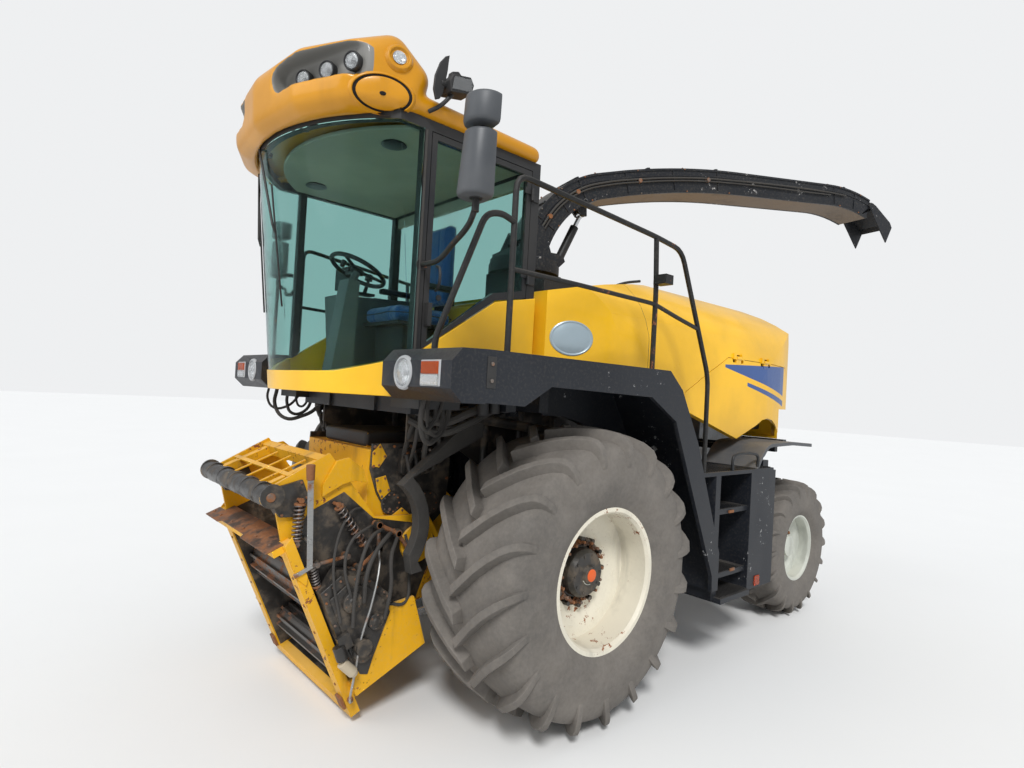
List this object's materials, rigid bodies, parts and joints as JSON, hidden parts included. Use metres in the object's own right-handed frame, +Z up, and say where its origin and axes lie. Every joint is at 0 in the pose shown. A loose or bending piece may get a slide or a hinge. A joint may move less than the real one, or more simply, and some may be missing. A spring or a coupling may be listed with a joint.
{
  "type": "forage harvester",
  "caption": "Self-propelled forage harvester with a glazed cab, a lowered intake with feed rolls, a long crop spout, fenders and a ladder.",
  "frame": {"origin": "on the ground under the middle of the overall length and width", "axes": "+X forward, +Y to the machine's left, +Z up"},
  "size_m": [6.9637, 3.3098, 4.5203],
  "materials": {
    "yellow_paint": "gloss",
    "slate_paint": "satin",
    "black_paint": "satin",
    "grey_paint": "satin",
    "cream_paint": "satin",
    "pale_paint": "satin",
    "engine_metal": "matte",
    "axle_iron": "matte",
    "worn_steel": "worn",
    "bright_rod": "polished",
    "tyre_rubber": "dusty",
    "black_rubber": "matte",
    "tinted_glass": "tinted",
    "lamp_glass": "clear",
    "dark_plastic": "textured",
    "grey_plastic": "textured",
    "blue_cloth": "woven"
  },
  "bodies": {
    "chassis": {"main_frame": "slate_paint", "front_axle": "axle_iron", "rear_axle": "axle_iron", "engine": "engine_metal", "cutter_housing": "yellow_paint", "crop_duct": "slate_paint", "hood": "yellow_paint", "rear_grille": "dark_plastic", "rear_bumper": "slate_paint", "fender_l": "slate_paint", "fender_r": "slate_paint", "front_lamps": "lamp_glass", "platform": "slate_paint", "tank_r": "dark_plastic", "rear_fender_l": "grey_paint", "rear_fender_r": "grey_paint", "handrails": "black_paint", "mirrors": "grey_plastic", "belt_guard": "black_rubber", "cab_base": "yellow_paint", "cab_frame": "black_paint", "roof": "yellow_paint", "roof_lamps": "lamp_glass", "windshield": "tinted_glass", "side_glass_r": "tinted_glass", "rear_glass": "tinted_glass", "seat": "blue_cloth", "seat_stand": "dark_plastic", "console": "dark_plastic", "steering_wheel": "dark_plastic", "wipers": "black_paint"},
    "knuckle_l": {"knuckle_l": "axle_iron"},
    "knuckle_r": {"knuckle_r": "axle_iron"},
    "wheel_fl": {"tyre_fl": "tyre_rubber", "rim_fl": "cream_paint", "hub_fl": "axle_iron"},
    "wheel_fr": {"tyre_fr": "tyre_rubber", "rim_fr": "cream_paint", "hub_fr": "axle_iron"},
    "wheel_rl": {"tyre_rl": "tyre_rubber", "rim_rl": "pale_paint"},
    "wheel_rr": {"tyre_rr": "tyre_rubber", "rim_rr": "pale_paint"},
    "door": {"door_frame": "black_paint", "door_glass": "tinted_glass"},
    "side_panel_l": {"side_panel_l": "yellow_paint"},
    "side_panel_r": {"side_panel_r": "yellow_paint"},
    "intake": {"intake_frame": "yellow_paint", "intake_drive": "axle_iron", "intake_linkage": "worn_steel"},
    "upper_roll": {"upper_roll": "worn_steel"},
    "lower_roll": {"lower_roll": "worn_steel"},
    "lift_barrels": {"lift_barrels": "yellow_paint"},
    "lift_rods": {"lift_rods": "bright_rod"},
    "turret": {"turret": "slate_paint"},
    "spout": {"spout": "slate_paint"},
    "spout_barrel": {"spout_barrel": "black_paint"},
    "spout_rod": {"spout_rod": "bright_rod"},
    "deflector": {"deflector": "slate_paint"}
  },
  "joints": [
    {"name": "front_left_wheel", "type": "hinge", "parent": "chassis", "child": "wheel_fl", "pos_m": [1.756, 1.18, 0.91], "axis": [0, 1, 0], "continuous": true},
    {"name": "front_right_wheel", "type": "hinge", "parent": "chassis", "child": "wheel_fr", "pos_m": [1.756, -1.18, 0.91], "axis": [0, 1, 0], "continuous": true},
    {"name": "steer_left", "type": "hinge", "parent": "chassis", "child": "knuckle_l", "pos_m": [-1.444, 0.8, 0.65], "axis": [0, 0, 1], "range_deg": [-40, 40]},
    {"name": "steer_right", "type": "hinge", "parent": "chassis", "child": "knuckle_r", "pos_m": [-1.444, -0.8, 0.65], "axis": [0, 0, 1], "range_deg": [-40, 40]},
    {"name": "rear_left_wheel", "type": "hinge", "parent": "knuckle_l", "child": "wheel_rl", "pos_m": [-1.444, 1.08, 0.65], "axis": [0, 1, 0], "continuous": true},
    {"name": "rear_right_wheel", "type": "hinge", "parent": "knuckle_r", "child": "wheel_rr", "pos_m": [-1.444, -1.08, 0.65], "axis": [0, 1, 0], "continuous": true},
    {"name": "cab_door", "type": "hinge", "parent": "chassis", "child": "door", "pos_m": [1.978, 0.914, 2.9], "axis": [0, 0, 1], "range_deg": [0, 35]},
    {"name": "left_panel", "type": "hinge", "parent": "chassis", "child": "side_panel_l", "pos_m": [-0.544, 1.238, 2.403], "axis": [1, 0, 0], "range_deg": [0, 50]},
    {"name": "right_panel", "type": "hinge", "parent": "chassis", "child": "side_panel_r", "pos_m": [-0.544, -1.238, 2.403], "axis": [-1, 0, 0], "range_deg": [0, 50]},
    {"name": "intake_lift", "type": "hinge", "parent": "chassis", "child": "intake", "pos_m": [2.456, 0, 1], "axis": [0, -1, 0], "range_deg": [0, 22]},
    {"name": "upper_roll_turn", "type": "hinge", "parent": "intake", "child": "upper_roll", "pos_m": [3.01344, 0, 0.77714], "axis": [0, 1, 0], "continuous": true},
    {"name": "lower_roll_turn", "type": "hinge", "parent": "intake", "child": "lower_roll", "pos_m": [2.85311, 0, 0.31239], "axis": [0, 1, 0], "continuous": true},
    {"name": "lift_barrel_turn", "type": "hinge", "parent": "chassis", "child": "lift_barrels", "pos_m": [1.906, 0, 0.64], "axis": [0, -1, 0], "range_deg": [0, 7.06]},
    {"name": "lift_rod_slide", "type": "slide", "parent": "lift_barrels", "child": "lift_rods", "axis": [0.9929, 0, -0.119], "range_m": [0, 0.15292]},
    {"name": "spout_swivel", "type": "hinge", "parent": "chassis", "child": "turret", "pos_m": [1.196, 0, 3.1], "axis": [0, 0, 1], "range_deg": [-90, 120]},
    {"name": "spout_lift", "type": "hinge", "parent": "turret", "child": "spout", "pos_m": [1.20567, -0.00255, 3.34], "axis": [0.2554, 0.9668, 0], "range_deg": [-10, 12]},
    {"name": "spout_barrel_turn", "type": "hinge", "parent": "turret", "child": "spout_barrel", "pos_m": [0.87695, 0.0843, 3.18], "axis": [0.2554, 0.9668, 0], "range_deg": [-10.16, 12.19]},
    {"name": "spout_rod_slide", "type": "slide", "parent": "spout_barrel", "child": "spout_rod", "axis": [-0.41, 0.1083, 0.9056], "range_m": [-0.06648, 0.07978]},
    {"name": "deflector_turn", "type": "hinge", "parent": "spout", "child": "deflector", "pos_m": [-3.0494, 1.12168, 4.4075], "axis": [-0.2554, -0.9668, 0], "range_deg": [-15, 35]}
  ],
  "couplings": [
    {"joint": "steer_right", "follows": "steer_left", "ratio": 1},
    {"joint": "lower_roll_turn", "follows": "upper_roll_turn", "ratio": -1.5},
    {"joint": "lift_barrel_turn", "follows": "intake_lift", "ratio": 0.31192},
    {"joint": "lift_rod_slide", "follows": "intake_lift", "m_per_rad": 0.39305},
    {"joint": "spout_barrel_turn", "follows": "spout_lift", "ratio": 0.99574},
    {"joint": "spout_rod_slide", "follows": "spout_lift", "m_per_rad": 0.37345}
  ]
}
